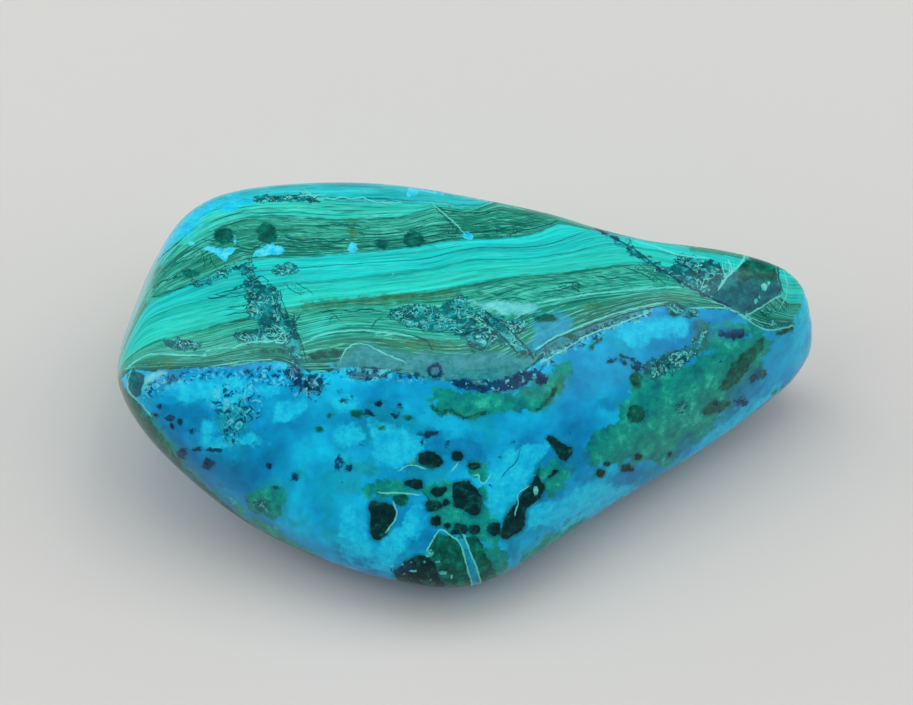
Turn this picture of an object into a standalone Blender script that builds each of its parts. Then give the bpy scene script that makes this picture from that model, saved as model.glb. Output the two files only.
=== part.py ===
"""A polished freeform of malachite with chrysocolla: one solid stone, with nothing joined to it.

Metres, +Z up. The origin is on the surface that the stone rests on, under the middle of its bounding box.
+X runs along the stone, from its broad end to its narrow nose, and +Y points to its back.
"""

import math

import bmesh
import bpy
from mathutils import Vector, noise

MM = 0.001

# The stone was ground against a wheel, one broad flat after another. Each flat is its bearing round +Z
# from +X and its tilt above level, in degrees, and its distance from the heart of the stone, in millimetres.
FLATS = {
    "crown": (99, 85, 8.5),
    "front_slope_broad": (-93, 48.5, 9.3),
    "front_slope_nose": (-62, 49, 8.4),
    "nose_end": (9.5, 9, 23.5),
    "nose_front": (-22, 4, 22.5),
    "nose_back": (42, 14, 26.1),
    "back_corner": (165, 20, 29),
    "back_turn": (130, 16, 28),
    "back_edge": (96.5, 6, 19.4),
    "back_edge_nose": (73, 2, 13.7),
    "back_shoulder": (92, 48, 17.3),
    "broad_tip": (-150.5, 0, 27),
    "lower_broad": (-123, -8, 19),
    "lower_front": (-104, -10, 16.8),
    "lower_nose": (-51, 3, 10.2),
    "lower_back": (90, -35, 13.6),
    "under_front": (-105, -50, 13.6),
    "under_nose": (-55, -40, 10.6),
    "under_back": (88, -62, 10.9),
    "under_broad": (190, -48, 18.9),
    "under_tip": (8, -42, 19.5),
    "underside_nose": (15, -80, 7.8),
    "underside_broad": (165, -83, 7.7),
    "underside_front": (-90, -84, 7.6),
}
CREST_SOFTNESS = 0.85 * MM  # tumbling wore each crest between the flats back by about this much
CREST_STEPS = 6  # Newton steps that find the worn surface to well under a micron

# A sphere's points are spread over an ellipsoid of these half sizes first, so that the faces come out alike.
SPREAD = Vector((26.0, 15.0, 8.5)) * MM
SPHERE_SUBDIVISIONS = 5

# The hand-held grinding left a slow waviness.
WAVE_LENGTH = 9.0 * MM
WAVE_HEIGHT = 0.12 * MM

# A fracture filled with softer, crumbled mineral cuts through the nose as a sheet, and was polished into a
# shallow valley all the way round. The sheet is given as a flat is: bearing, tilt and distance.
FRACTURE = (49, 32, 14.2)
FRACTURE_DEPTH = 0.22 * MM
FRACTURE_HALF_WIDTH = 0.9 * MM

# Shallow dishes, each a centre seen from the heart, a radius and a depth: a saddle where the fracture
# crosses the back edge, and the slightly hollow flank under the nose.
DISHES = [
    (Vector((9.6, 9.9, 6.6)) * MM, 4.0 * MM, 0.60 * MM),
    (Vector((9.0, -6.6, -2.8)) * MM, 8.0 * MM, 0.30 * MM),
]

# The underside is ground to a small true flat, this far above its lowest point, so that it doesn't rock.
BASE_TRIM = 0.28 * MM


def direction(bearing, tilt):
    """The unit vector at a bearing round +Z and a tilt above level, both in degrees."""
    bearing, tilt = math.radians(bearing), math.radians(tilt)
    level = math.cos(tilt)
    return Vector((level * math.cos(bearing), level * math.sin(bearing), math.sin(tilt)))


def ground_reach(way, flats):
    """How far the stone reaches from its heart along a unit vector: the first flat, less the worn crest."""
    slants = [(way.dot(normal), distance) for normal, distance in flats]
    reach = min(distance / slant for slant, distance in slants if slant > 0)
    for _ in range(CREST_STEPS):
        presses = [math.exp((reach * slant - distance) / CREST_SOFTNESS) for slant, distance in slants]
        total = sum(presses)
        steepness = sum(press * slant for press, (slant, _) in zip(presses, slants)) / total
        reach -= CREST_SOFTNESS * math.log(total) / steepness
    return reach


def soft_bump(distance, half_width):
    """1 at distance 0, falling smoothly to 0 a few half widths away."""
    return math.exp(-((distance / half_width) ** 2))


def worn_away(point):
    """How far the surface is cut back at a point, by the grinding, the fracture and the dishes."""
    depth = WAVE_HEIGHT * noise.noise(point / WAVE_LENGTH)
    bearing, tilt, distance = FRACTURE
    off_fracture = point.dot(direction(bearing, tilt)) - distance * MM
    depth += FRACTURE_DEPTH * soft_bump(off_fracture, FRACTURE_HALF_WIDTH)
    for centre, radius, dish_depth in DISHES:
        depth += dish_depth * soft_bump((point - centre).length, radius)
    return depth


def grind(mesh):
    """Brings every point of a unit sphere's mesh to the surface of the stone."""
    flats = [(direction(bearing, tilt), distance * MM) for bearing, tilt, distance in FLATS.values()]
    for vertex in mesh.verts:
        way = (vertex.co * SPREAD).normalized()
        surface = way * ground_reach(way, flats)
        vertex.co = surface - way * worn_away(surface)


def trim_base(mesh):
    """Cuts the underside off level and closes it with one flat face."""
    lowest = min(vertex.co.z for vertex in mesh.verts)
    cut = bmesh.ops.bisect_plane(
        mesh,
        geom=mesh.verts[:] + mesh.edges[:] + mesh.faces[:],
        plane_co=(0, 0, lowest + BASE_TRIM),
        plane_no=(0, 0, -1),
        clear_outer=True,
    )
    rim = [item for item in cut["geom_cut"] if isinstance(item, bmesh.types.BMEdge)]
    bmesh.ops.contextual_create(mesh, geom=rim)


def stand_on_origin(mesh):
    """Moves the mesh so that its base is level with the origin and its bounding box is centred over it."""
    spans = [sorted(vertex.co[axis] for vertex in mesh.verts) for axis in range(3)]
    middle = Vector((spans[0][0] + spans[0][-1], spans[1][0] + spans[1][-1], 2 * spans[2][0])) / 2
    bmesh.ops.translate(mesh, verts=mesh.verts, vec=-middle)


def polished_material():
    """The stone's mean colour between its green and its blue, wet-looking from the polish."""
    material = bpy.data.materials.new("polished_malachite_and_chrysocolla")
    material.use_nodes = True
    shader = material.node_tree.nodes["Principled BSDF"]
    shader.inputs["Base Color"].default_value = (0.012, 0.38, 0.42, 1.0)
    shader.inputs["Roughness"].default_value = 0.18
    shader.inputs["Metallic"].default_value = 0.0
    return material


def make_stone(collection):
    mesh = bmesh.new()
    bmesh.ops.create_icosphere(mesh, subdivisions=SPHERE_SUBDIVISIONS, radius=1.0)
    grind(mesh)
    trim_base(mesh)
    stand_on_origin(mesh)
    bmesh.ops.recalc_face_normals(mesh, faces=mesh.faces)
    data = bpy.data.meshes.new("stone")
    mesh.to_mesh(data)
    mesh.free()
    data.shade_smooth()
    data.set_sharp_from_angle(angle=math.radians(30))
    data.materials.append(polished_material())
    stone = bpy.data.objects.new("stone", data)
    collection.objects.link(stone)
    return stone


def main():
    for old in list(bpy.data.objects):
        bpy.data.objects.remove(old)
    collection = bpy.data.collections.new("malachite_with_chrysocolla")
    bpy.context.scene.collection.children.link(collection)
    make_stone(collection)


main()
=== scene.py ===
import math

import bmesh
import bpy
import numpy as np
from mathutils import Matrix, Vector, noise
from mathutils.bvhtree import BVHTree


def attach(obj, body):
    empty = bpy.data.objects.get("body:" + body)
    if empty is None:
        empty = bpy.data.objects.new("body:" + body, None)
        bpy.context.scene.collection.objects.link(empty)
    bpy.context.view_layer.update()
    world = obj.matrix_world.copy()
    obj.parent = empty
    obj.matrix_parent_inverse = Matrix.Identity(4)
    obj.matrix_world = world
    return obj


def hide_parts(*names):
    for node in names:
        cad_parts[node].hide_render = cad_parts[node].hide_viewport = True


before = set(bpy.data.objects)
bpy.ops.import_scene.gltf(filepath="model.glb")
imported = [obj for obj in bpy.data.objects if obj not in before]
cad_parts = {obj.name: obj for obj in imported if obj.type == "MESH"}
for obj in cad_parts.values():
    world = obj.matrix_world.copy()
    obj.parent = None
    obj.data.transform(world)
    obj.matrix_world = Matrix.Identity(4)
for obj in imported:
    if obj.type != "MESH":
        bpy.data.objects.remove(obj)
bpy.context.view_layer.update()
print("frame loaded:", sorted(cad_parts))

mm = 0.001

# the picture that the places of the marks below are read from, and the camera that sees the stone as it does
picture = {
    "width": 913,
    "height": 705,
    "pixelsPerMm": 13.404,  # at the aim
    "elevation": 52.0,  # degrees above level
    "distance": 300.0,  # mm from the aim
    "aim": (-0.91, 1.71, 8.79),  # mm, behind the picture's middle
    "sensor": 36.0,  # mm
    "nearest": 0.01,  # m: what is nearer than this to the camera isn't drawn
}


def lookAxes():
    # right, up and back of the camera, as rows
    tilt = math.radians(picture["elevation"])
    return np.array((
        (1.0, 0.0, 0.0),
        (0.0, math.sin(tilt), math.cos(tilt)),
        (0.0, -math.cos(tilt), math.sin(tilt)),
    ))


def eyePoint():
    # mm
    return np.array(picture["aim"]) + lookAxes()[2] * picture["distance"]


def toPicture(points):
    # where points in mm come in the picture, in its pixels
    seen = (points - eyePoint()) @ lookAxes().T
    focal = picture["pixelsPerMm"] * picture["distance"]
    across = picture["width"] / 2 - focal * seen[:, 0] / seen[:, 2]
    down = picture["height"] / 2 + focal * seen[:, 1] / seen[:, 2]
    return np.stack((across, down), axis=1)


# The malachite grew in layers, one on the other, from the back of the crown to the blue. Each line follows
# one layer across the picture, from left to right.
layers = {
    "backRim": [(100, 395), (116, 371), (120, 352), (136, 308), (150, 271), (170, 231), (200, 202),
                (240, 188), (318, 180), (390, 182), (446, 189), (492, 195), (521, 203), (560, 212),
                (600, 227), (700, 244), (790, 268)],
    "crinkle": [(100, 397), (116, 373), (120, 354), (136, 311), (150, 277), (170, 243), (200, 214),
                (240, 202), (270, 198), (297, 196), (334, 201), (371, 201), (400, 202), (433, 204),
                (445, 205), (462, 208), (480, 207), (490, 202), (498, 199), (521, 205), (560, 214),
                (600, 229), (700, 245), (790, 269)],
    "lensTop": [(100, 399), (116, 375), (120, 356), (136, 315), (150, 284), (170, 256), (200, 232),
                (240, 218), (270, 216), (330, 219), (398, 218), (421, 212), (436, 206), (462, 209),
                (480, 208), (492, 203), (500, 200), (521, 206), (560, 216), (600, 231), (700, 246),
                (790, 270)],
    "lightTop": [(100, 401), (116, 377), (120, 359), (136, 323), (150, 301), (170, 292), (200, 281),
                 (220, 271), (240, 262), (275, 258), (306, 258), (341, 255), (376, 252), (405, 249),
                 (428, 245), (460, 240), (488, 239), (515, 237), (534, 234), (550, 227), (560, 222),
                 (600, 233), (700, 248), (790, 272)],
    "firstLine": [(100, 403), (116, 379), (120, 361), (136, 327), (149, 308), (169, 299), (192, 289),
                  (215, 280), (238, 273), (261, 271), (300, 268), (340, 265), (400, 261), (427, 259),
                  (454, 252), (478, 247), (507, 248), (539, 247), (560, 242), (577, 235), (593, 228),
                  (620, 236), (700, 250), (790, 275)],
    "secondLine": [(100, 405), (116, 381), (120, 363), (136, 333), (150, 317), (176, 308), (200, 302),
                   (240, 293), (281, 286), (340, 281), (400, 274), (427, 272), (454, 264), (475, 260),
                   (507, 260), (534, 259), (560, 255), (588, 250), (609, 243), (640, 248), (700, 260),
                   (790, 285)],
    "lightFoot": [(100, 407), (116, 383), (120, 366), (136, 352), (150, 344), (170, 338), (200, 331),
                  (240, 320), (281, 310), (307, 305), (341, 301), (376, 298), (400, 295), (427, 293),
                  (454, 289), (488, 281), (520, 276), (560, 274), (588, 270), (614, 267), (640, 263),
                  (700, 275), (790, 305)],
    "paleLine": [(100, 409), (116, 385), (121, 368), (134, 361), (153, 354), (178, 355), (206, 354),
                 (224, 349), (240, 344), (261, 341), (284, 343), (302, 342), (320, 335), (348, 330),
                 (376, 331), (398, 334), (420, 338), (460, 342), (490, 334), (516, 312), (539, 303),
                 (560, 299), (588, 294), (614, 292), (641, 289), (668, 287), (700, 292), (740, 305),
                 (790, 318)],
    "contact": [(100, 412), (116, 388), (124, 374), (134, 370), (150, 371), (170, 369), (206, 368),
                (234, 366), (253, 363), (270, 361), (283, 362), (294, 370), (330, 372), (345, 369),
                (372, 370), (400, 374), (430, 378), (447, 381), (490, 385), (515, 379), (534, 364),
                (560, 346), (576, 336), (599, 325), (626, 315), (648, 308), (668, 305), (700, 308),
                (727, 309), (747, 319), (767, 331), (792, 326), (830, 322)],
}

# Everything else in the pattern is a mark of one tint: blocks are outlines, streaks are a half width and a
# line, and spots are a middle and two radii. Pixels of the picture.
marks = {
    "bright": {  # sky-blue chrysocolla, and the palest turquoise in the malachite
        "blocks": [
            [(340, 510), (356, 500), (366, 520), (370, 545), (384, 560), (400, 575), (380, 572), (350, 560),
             (335, 545)],
            [(158, 390), (182, 380), (230, 378), (275, 384), (290, 392), (262, 397), (225, 403),
             (176, 402)],
            [(366, 420), (392, 424), (416, 434), (424, 450), (412, 462), (404, 474), (384, 468),
             (372, 448)],
            [(489, 482), (497, 466), (504, 453), (529, 445), (547, 442), (550, 451), (538, 470), (518, 494),
             (505, 506), (495, 516), (488, 499)],
            [(526, 506), (541, 503), (560, 498), (590, 484), (622, 488), (640, 486), (610, 504), (572, 522),
             (541, 530), (528, 533), (525, 515)],
            [(406, 508), (422, 505), (425, 527), (414, 536), (403, 533)],
            [(374, 545), (392, 532), (400, 524), (404, 545), (396, 566), (380, 568)],
            [(612, 336), (640, 321), (660, 318), (684, 322), (686, 334), (660, 340), (630, 346)],
            [(796, 300), (806, 276), (814, 300), (812, 340), (800, 368), (792, 352), (800, 325)],
            [(715, 432), (745, 410), (775, 388), (785, 384), (760, 412), (725, 436)],
        ],
        "streaks": [
            (4.0, [(158, 254), (178, 230), (200, 213), (222, 204), (252, 198)]),
            (2.0, [(330, 366), (347, 376), (366, 381), (388, 378), (394, 370)]),
        ],
        "spots": [(210, 427, 8, 8), (208, 441, 10, 7), (247, 441, 12, 8), (285, 410, 14, 11),
                  (384, 560, 12, 10), (345, 402, 14, 8), (350, 435, 16, 12)],
    },
    "sky": {  # small clear pools of sky blue in the malachite
        "blocks": [
            [(200, 247), (210, 246), (222, 249), (234, 246), (237, 249), (232, 253), (228, 257), (227, 262),
             (222, 259), (216, 254), (208, 251)],
            [(252, 253), (260, 248), (268, 245), (269, 237), (273, 238), (274, 246), (282, 246), (285, 251),
             (278, 256), (271, 254), (262, 257), (254, 257)],
            [(188, 243), (194, 241), (196, 245), (190, 246)],
            [(347, 250), (349, 243), (356, 243), (358, 249), (354, 254), (350, 252)],
            [(462, 234), (467, 231), (472, 234), (474, 239), (468, 240), (463, 238)],
            [(405, 198), (408, 190), (414, 187), (420, 192), (412, 197)],
        ],
        "streaks": [
            (1.0, [(408, 194), (420, 190), (431, 192), (443, 194)]),
            (0.8, [(416, 188), (426, 188), (436, 190)]),
        ],
        "spots": [(234, 236, 1.5, 3), (235, 241, 2, 2), (410, 190, 3, 3)],
    },
    "milk": {  # painted reflection: pale patches where the sheen of the light lies on the crest and at the left tip
        "blocks": [
            [(468, 303), (490, 301), (515, 303), (538, 306), (534, 312), (518, 316), (505, 313),
             (485, 309)],
            [(144, 374), (152, 372), (171, 371), (160, 377), (152, 384), (145, 392), (141, 394)],
        ],
    },
    "pool": {  # clear blue over the end of the layers
        "blocks": [
            [(530, 315), (552, 311), (576, 316), (572, 330), (552, 344), (536, 354), (526, 348),
             (534, 336)],
        ],
    },
    "haze": {  # a green tinge over the blue
        "blocks": [
            [(216, 396), (250, 398), (254, 412), (246, 436), (232, 448), (220, 440), (214, 418)],
            [(262, 478), (292, 486), (290, 510), (276, 520), (256, 506)],
            [(560, 330), (590, 330), (580, 346), (560, 352)],
        ],
        "streaks": [
            (3.0, [(338, 440), (350, 452), (350, 472)]),
            (3.0, [(148, 416), (164, 436), (180, 456)]),
        ],
        "spots": [(366, 470, 14, 8), (352, 486, 10, 6)],
    },
    "mauve": {  # pinkish grey cores
        "blocks": [
            [(345, 374), (360, 371), (384, 373), (386, 377), (372, 380), (352, 379)],
            [(470, 380), (486, 381), (488, 385), (474, 385)],
        ],
        "spots": [(313, 383, 5, 4.5), (294, 373, 4, 5), (435, 371, 4.5, 4.5)],
    },
    "teal": {  # dark teal glass beyond the fracture
        "blocks": [
            [(666, 266), (684, 262), (704, 262), (722, 268), (733, 272), (748, 268), (776, 275), (782, 292),
             (770, 303), (753, 315), (735, 309), (716, 300), (700, 291), (684, 280)],
            [(127, 377), (131, 369), (138, 371), (145, 374), (144, 381), (142, 392), (137, 399), (131, 395),
             (127, 387)],
        ],
    },
    "moss": {  # darker, greener malachite
        "blocks": [
            [(163, 262), (176, 247), (190, 241), (203, 247), (216, 258), (226, 266), (208, 276), (190, 286),
             (170, 294), (152, 300), (150, 288)],
            [(436, 211), (462, 212), (492, 204), (521, 208), (560, 218), (542, 231), (520, 236), (490, 238),
             (470, 239), (455, 228), (440, 218)],
            [(350, 338), (400, 341), (440, 345), (470, 348), (440, 352), (400, 350), (366, 345)],
            [(690, 244), (744, 248), (748, 256), (720, 256), (692, 251)],
        ],
    },
    "deep": {  # darker azure, deeper in the stone
        "blocks": [
            [(160, 404), (185, 404), (206, 410), (215, 420), (200, 436), (176, 440), (165, 425)],
            [(176, 450), (206, 452), (250, 462), (262, 474), (240, 490), (208, 484), (186, 470)],
            [(416, 452), (418, 438), (446, 436), (476, 440), (492, 458), (494, 470), (470, 462),
             (440, 452)],
            [(405, 540), (424, 530), (436, 534), (424, 556), (410, 560)],
            [(572, 440), (590, 450), (600, 478), (580, 484), (560, 470)],
            [(676, 446), (692, 435), (706, 439), (683, 456), (660, 462)],
            [(736, 376), (765, 366), (766, 388), (744, 408), (724, 416), (730, 396)],
            [(600, 472), (640, 472), (668, 462), (650, 478), (610, 486)],
        ],
        "streaks": [
            (3.0, [(428, 430), (446, 438), (466, 446)]),
            (5.0, [(700, 334), (724, 330), (748, 336)]),
        ],
        "spots": [(248, 471, 6, 4), (300, 384, 10, 5), (455, 444, 8, 6), (607, 402, 9, 6),
                  (510, 548, 7, 12)],
    },
    "green": {  # green chrysocolla, and malachite grown through it
        "blocks": [
            [(647, 370), (666, 366), (683, 364), (701, 356), (719, 346), (749, 334), (772, 334), (770, 354),
             (754, 386), (736, 400), (719, 416), (706, 436), (679, 455), (665, 466), (640, 462), (610, 462),
             (592, 470), (584, 452), (590, 432), (611, 425), (615, 410), (632, 388)],
            [(431, 386), (452, 391), (480, 394), (520, 392), (548, 374), (560, 362), (572, 360), (574, 372),
             (560, 390), (552, 406), (530, 414), (505, 411), (480, 417), (454, 414), (433, 407)],
            [(246, 492), (268, 486), (288, 492), (286, 505), (275, 522), (258, 518), (244, 508)],
            [(424, 488), (440, 480), (456, 484), (486, 486), (498, 500), (498, 522), (502, 540), (494, 548),
             (474, 536), (450, 534), (434, 524), (428, 508)],
            [(365, 484), (390, 480), (403, 481), (418, 494), (404, 498), (380, 494), (366, 500)],
            [(534, 482), (550, 456), (566, 462), (580, 470), (560, 486), (552, 500), (545, 486)],
            [(480, 548), (500, 546), (508, 552), (510, 566), (500, 580), (486, 572)],
            [(516, 566), (536, 542), (560, 528), (592, 508), (590, 520), (556, 544), (530, 560)],
            [(230, 512), (262, 520), (300, 545), (320, 560), (285, 552), (245, 530)],
            [(694, 352), (702, 330), (716, 322), (752, 326), (764, 334), (730, 344), (705, 352)],
        ],
        "streaks": [
            (1.5, [(150, 420), (166, 440), (182, 458), (196, 474), (220, 492), (250, 514)]),
        ],
        "spots": [(413, 462, 7, 5), (479, 470, 11, 10)],
    },
    "bottle": {  # dark green malachite; the first block, along the lower-left rim where the edge turns under, is partly painted shade
        "blocks": [
            # partly painted shade: this rim block darkens the edge where it turns under, over dark green
            # malachite
            [(108, 376), (123, 380), (127, 392), (137, 401), (148, 417), (154, 425), (166, 442), (182, 463),
             (190, 474), (212, 492), (243, 520), (284, 545), (330, 562), (320, 572), (240, 535), (180, 488),
             (140, 440), (112, 400)],
            [(214, 228), (232, 227), (233, 242), (216, 244)],
            [(256, 224), (276, 223), (277, 243), (258, 244)],
            [(405, 247), (404, 236), (411, 231), (420, 233), (427, 246)],
            [(374, 239), (389, 239), (389, 249), (376, 248)],
            [(181, 271), (199, 270), (201, 277), (185, 277)],
            [(306, 354), (320, 350), (336, 349), (346, 351), (334, 358), (314, 361)],
            [(748, 253), (772, 262), (776, 275), (751, 264)],
            [(736, 280), (740, 266), (749, 258), (772, 264), (778, 272), (777, 283), (758, 279)],
            [(716, 391), (726, 378), (731, 364), (742, 354), (757, 341), (764, 336), (763, 348), (752, 362),
             (744, 376), (730, 390)],
            [(700, 412), (708, 404), (722, 400), (734, 404), (722, 410), (708, 416)],
            [(431, 549), (432, 542), (438, 532), (449, 538), (465, 538), (474, 534), (483, 546), (488, 560),
             (500, 576), (483, 590), (449, 590), (426, 588), (421, 568)],
            [(392, 494), (406, 494), (408, 503), (401, 508), (394, 501)],
            [(775, 391), (786, 384), (770, 395)],
        ],
        "streaks": [
            (2.0, [(778, 334), (792, 327)]),
            (1.6, [(252, 353), (266, 350), (286, 352)]),
            (1.6, [(433, 406), (442, 416), (448, 408), (456, 415), (466, 419), (476, 415), (492, 412)]),
            (1.5, [(536, 410), (548, 402), (556, 388)]),
            (1.2, [(590, 348), (600, 340)]),
        ],
        "spots": [(546, 318, 11, 4), (476, 341, 9, 11), (357, 414, 5, 4), (636, 380, 6, 8), (636, 414, 9, 9),
                  (262, 506, 5, 5), (278, 488, 5, 2), (570, 336, 7, 2), (676, 312, 8, 4), (760, 374, 6, 5),
                  (410, 418, 5, 2), (330, 416, 3, 2), (320, 429, 3, 2), (382, 428, 3, 2)],
    },
    "inky": {  # nearly black cores
        "blocks": [
            [(452, 484), (460, 480), (470, 481), (480, 494), (483, 501), (480, 515), (471, 516), (464, 510),
             (455, 507), (452, 501)],
            [(368, 500), (385, 502), (393, 505), (397, 515), (390, 529), (384, 539), (372, 543),
             (370, 520)],
            [(403, 481), (418, 478), (424, 483), (420, 491), (405, 487)],
            [(419, 452), (437, 451), (444, 463), (438, 469), (424, 468), (418, 460)],
            [(545, 437), (553, 435), (560, 443), (572, 446), (572, 456), (563, 463), (556, 452),
             (549, 443)],
            [(500, 538), (502, 524), (508, 512), (518, 500), (528, 486), (537, 477), (541, 481), (545, 487),
             (541, 500), (528, 506), (525, 515), (526, 528), (515, 535), (506, 540)],
            [(398, 568), (408, 560), (419, 554), (435, 560), (437, 574), (449, 590), (414, 588),
             (392, 578)],
        ],
        "streaks": [
            (1.5, [(549, 478), (557, 470)]),
            (1.2, [(536, 478), (539, 470)]),
        ],
        "spots": [(437, 492, 6, 5), (433, 506, 8, 6), (436, 521, 5, 6), (446, 503, 3, 4), (445, 489, 3, 3),
                  (460, 529, 7, 6), (454, 532, 3, 3), (474, 530, 6, 5), (494, 529, 7, 7), (457, 456, 6, 5),
                  (474, 466, 6, 4), (627, 468, 6, 4), (600, 473, 5, 4), (638, 457, 4, 3), (669, 454, 3, 3),
                  (607, 464, 3, 2), (715, 402, 3, 3), (448, 526, 4, 3)],
    },
    "navy": {  # blue-black specks and bands
        "blocks": [
            [(447, 381), (462, 379), (488, 382), (508, 378), (522, 371), (532, 372), (533, 380), (520, 389),
             (498, 392), (474, 391), (456, 387)],
            [(715, 334), (728, 330), (745, 334), (744, 339), (724, 339)],
            [(294, 368), (302, 372), (304, 384), (297, 386), (291, 378)],
        ],
        "streaks": [
            (1.1, [(596, 228), (612, 237), (628, 248), (641, 258), (668, 274), (689, 285), (708, 296),
                   (730, 309), (746, 317)]),
            (0.9, [(610, 362), (619, 356), (631, 358), (645, 367)]),
            (0.9, [(618, 360), (630, 366), (638, 371)]),
            (1.2, [(470, 385), (480, 388), (498, 387)]),
        ],
        "spots": [(170, 418, 6, 3), (179, 421, 4, 4), (172, 426, 3, 2), (158, 415, 3, 2), (160, 406, 3, 2),
                  (192, 431, 3, 3), (196, 450, 3, 2), (182, 453, 5, 5), (208, 464, 7, 5), (215, 450, 7, 2),
                  (269, 465, 3, 3), (295, 477, 3, 3), (370, 413, 5, 3), (378, 403, 5, 3), (396, 415, 4, 3),
                  (400, 406, 2, 2), (343, 400, 3, 2), (340, 392, 2, 2), (338, 466, 3, 3), (349, 468, 3, 3),
                  (340, 460, 3, 4), (428, 434, 8, 3), (541, 379, 7, 6), (312, 384, 9, 8), (294, 374, 7, 8),
                  (422, 442, 2, 2), (447, 443, 2, 2), (638, 368, 5, 3), (435, 371, 7, 7), (513, 442, 2, 2),
                  (738, 334, 8, 5), (757, 376, 5, 3), (742, 402, 6, 4), (752, 380, 3, 3)],
    },
    "umber": {  # brown and olive, stained with iron
        "blocks": [
            [(348, 219), (357, 219), (357, 240), (349, 240)],
            [(293, 237), (304, 237), (303, 242), (295, 242)],
            [(258, 228), (277, 226), (276, 238), (260, 240)],
            [(693, 322), (706, 318), (709, 345), (703, 352), (694, 350), (692, 335)],
            [(300, 302), (340, 299), (400, 294), (460, 290), (458, 298), (400, 303), (345, 306),
             (302, 311)],
            [(583, 302), (603, 303), (602, 310), (586, 310)],
            [(380, 337), (420, 341), (468, 344), (466, 350), (420, 348), (382, 342)],
            [(146, 360), (176, 359), (176, 370), (150, 368)],
            [(690, 245), (744, 248), (746, 251), (692, 249)],
        ],
        "streaks": [
            (1.5, [(433, 408), (444, 414), (456, 413), (468, 417), (480, 413)]),
        ],
        "spots": [(636, 380, 4, 6), (548, 400, 6, 8), (560, 384, 5, 6), (676, 313, 6, 3), (413, 462, 4, 3)],
    },
    "ash": {  # blue-grey chalcedony under the last layer, with painted sheen: the grey of light reflected along the crest is painted into it
        "blocks": [
            [(341, 360), (345, 349), (355, 344), (367, 345), (385, 350), (408, 354), (440, 355), (480, 354),
             (508, 354), (532, 358), (540, 350), (534, 364), (515, 379), (490, 383), (447, 380), (416, 375),
             (393, 370), (372, 367), (335, 368)],
        ],
        "streaks": [
            (3.5, [(547, 358), (574, 338), (600, 325), (628, 316), (648, 311)]),
        ],
        "spots": [(365, 375, 19, 5), (312, 384, 11, 10), (435, 372, 9, 8), (297, 375, 8, 8)],
    },
    "pale": {  # flecks of pale blue-green
        "spots": [(429, 555, 4, 2), (438, 562, 2, 1.5), (443, 573, 4, 2), (452, 577, 1.4, 2.6),
                  (536, 491, 2.5, 5), (638, 322, 5, 1.5), (409, 563, 1.5, 1), (417, 571, 1.2, 1.2),
                  (424, 562, 1.4, 1), (430, 580, 1.4, 1), (412, 578, 1.2, 1), (404, 574, 1.1, 1),
                  (421, 580, 1.2, 1), (412, 571, 3, 1), (431, 551, 5, 1.2), (764, 287, 3, 4),
                  (756, 301, 1.5, 3), (760, 297, 1, 2), (769, 283, 1, 2), (702, 262, 4, 1.5),
                  (640, 256, 1, 1), (654, 270, 2, 1.2), (663, 268, 2, 1.5), (670, 275, 2, 2),
                  (678, 277, 3, 1.8), (684, 283, 2.5, 2), (704, 292, 3, 1.8), (712, 297, 2, 1.2),
                  (628, 254, 1, 1), (665, 262, 1.2, 1), (708, 286, 1.5, 1), (393, 274, 1, 1),
                  (443, 271, 1.2, 1)],
    },
    "fibrous": {  # where fine needles grew across the layers
        "blocks": [
            [(438, 208), (480, 209), (500, 211), (530, 214), (547, 220), (557, 224), (540, 231), (506, 235),
             (480, 237), (462, 239), (440, 241), (420, 246), (400, 244), (412, 230), (426, 220)],
            [(478, 290), (500, 280), (540, 275), (588, 271), (640, 264), (668, 274), (690, 288), (668, 287),
             (614, 291), (560, 298), (516, 312), (490, 320), (470, 300)],
            [(200, 228), (260, 222), (330, 222), (400, 220), (404, 244), (340, 250), (280, 252),
             (220, 256)],
            [(240, 330), (262, 318), (282, 312), (300, 308), (304, 330), (290, 342), (260, 340),
             (242, 342)],
        ],
    },
    "mint": {  # the palest malachite
        "blocks": [
            [(140, 305), (150, 272), (172, 240), (202, 216), (222, 222), (205, 252), (182, 280),
             (160, 300)],
            [(303, 340), (306, 324), (322, 320), (340, 322), (338, 332), (318, 340)],
        ],
    },
    "glaze": {  # clear blue that fills a vein
        "blocks": [
            [(456, 539), (464, 537), (471, 554), (478, 571), (482, 588), (474, 590), (467, 568),
             (463, 549)],
        ],
    },
    "broken": {  # crushed stone, healed with pale flecks
        "blocks": [
            [(242, 278), (256, 278), (270, 287), (280, 294), (281, 308), (284, 317), (295, 319), (300, 340),
             (307, 368), (292, 368), (284, 343), (265, 338), (258, 322), (244, 314), (247, 299)],
            [(386, 314), (400, 306), (416, 304), (440, 308), (459, 293), (469, 298), (464, 306), (486, 312),
             (507, 320), (526, 316), (530, 325), (523, 333), (513, 333), (523, 344), (532, 357), (518, 355),
             (499, 341), (488, 350), (475, 350), (467, 339), (448, 331), (432, 333), (416, 328),
             (400, 323)],
            [(668, 256), (690, 255), (712, 261), (726, 268), (722, 280), (714, 294), (700, 290),
             (684, 278)],
            [(275, 268), (279, 263), (296, 263), (298, 268), (302, 269), (292, 274), (276, 276)],
            [(189, 283), (200, 281), (211, 277), (222, 270), (228, 266), (242, 265), (251, 258), (250, 266),
             (236, 271), (224, 276), (210, 284), (192, 287)],
            [(160, 341), (180, 338), (202, 343), (198, 351), (170, 349)],
            [(231, 330), (262, 329), (274, 342), (240, 344)],
            [(242, 262), (250, 260), (256, 268), (252, 279), (243, 276)],
            [(640, 364), (660, 356), (684, 350), (700, 334), (712, 322), (700, 350), (688, 364), (664, 378),
             (650, 378)],
            [(664, 303), (690, 304), (702, 314), (690, 320), (672, 312)],
        ],
        "streaks": [
            (3.0, [(258, 199), (280, 198), (300, 197), (318, 201)]),
            (2.2, [(628, 248), (641, 256), (660, 266), (678, 279), (692, 289), (705, 294)]),
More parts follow.
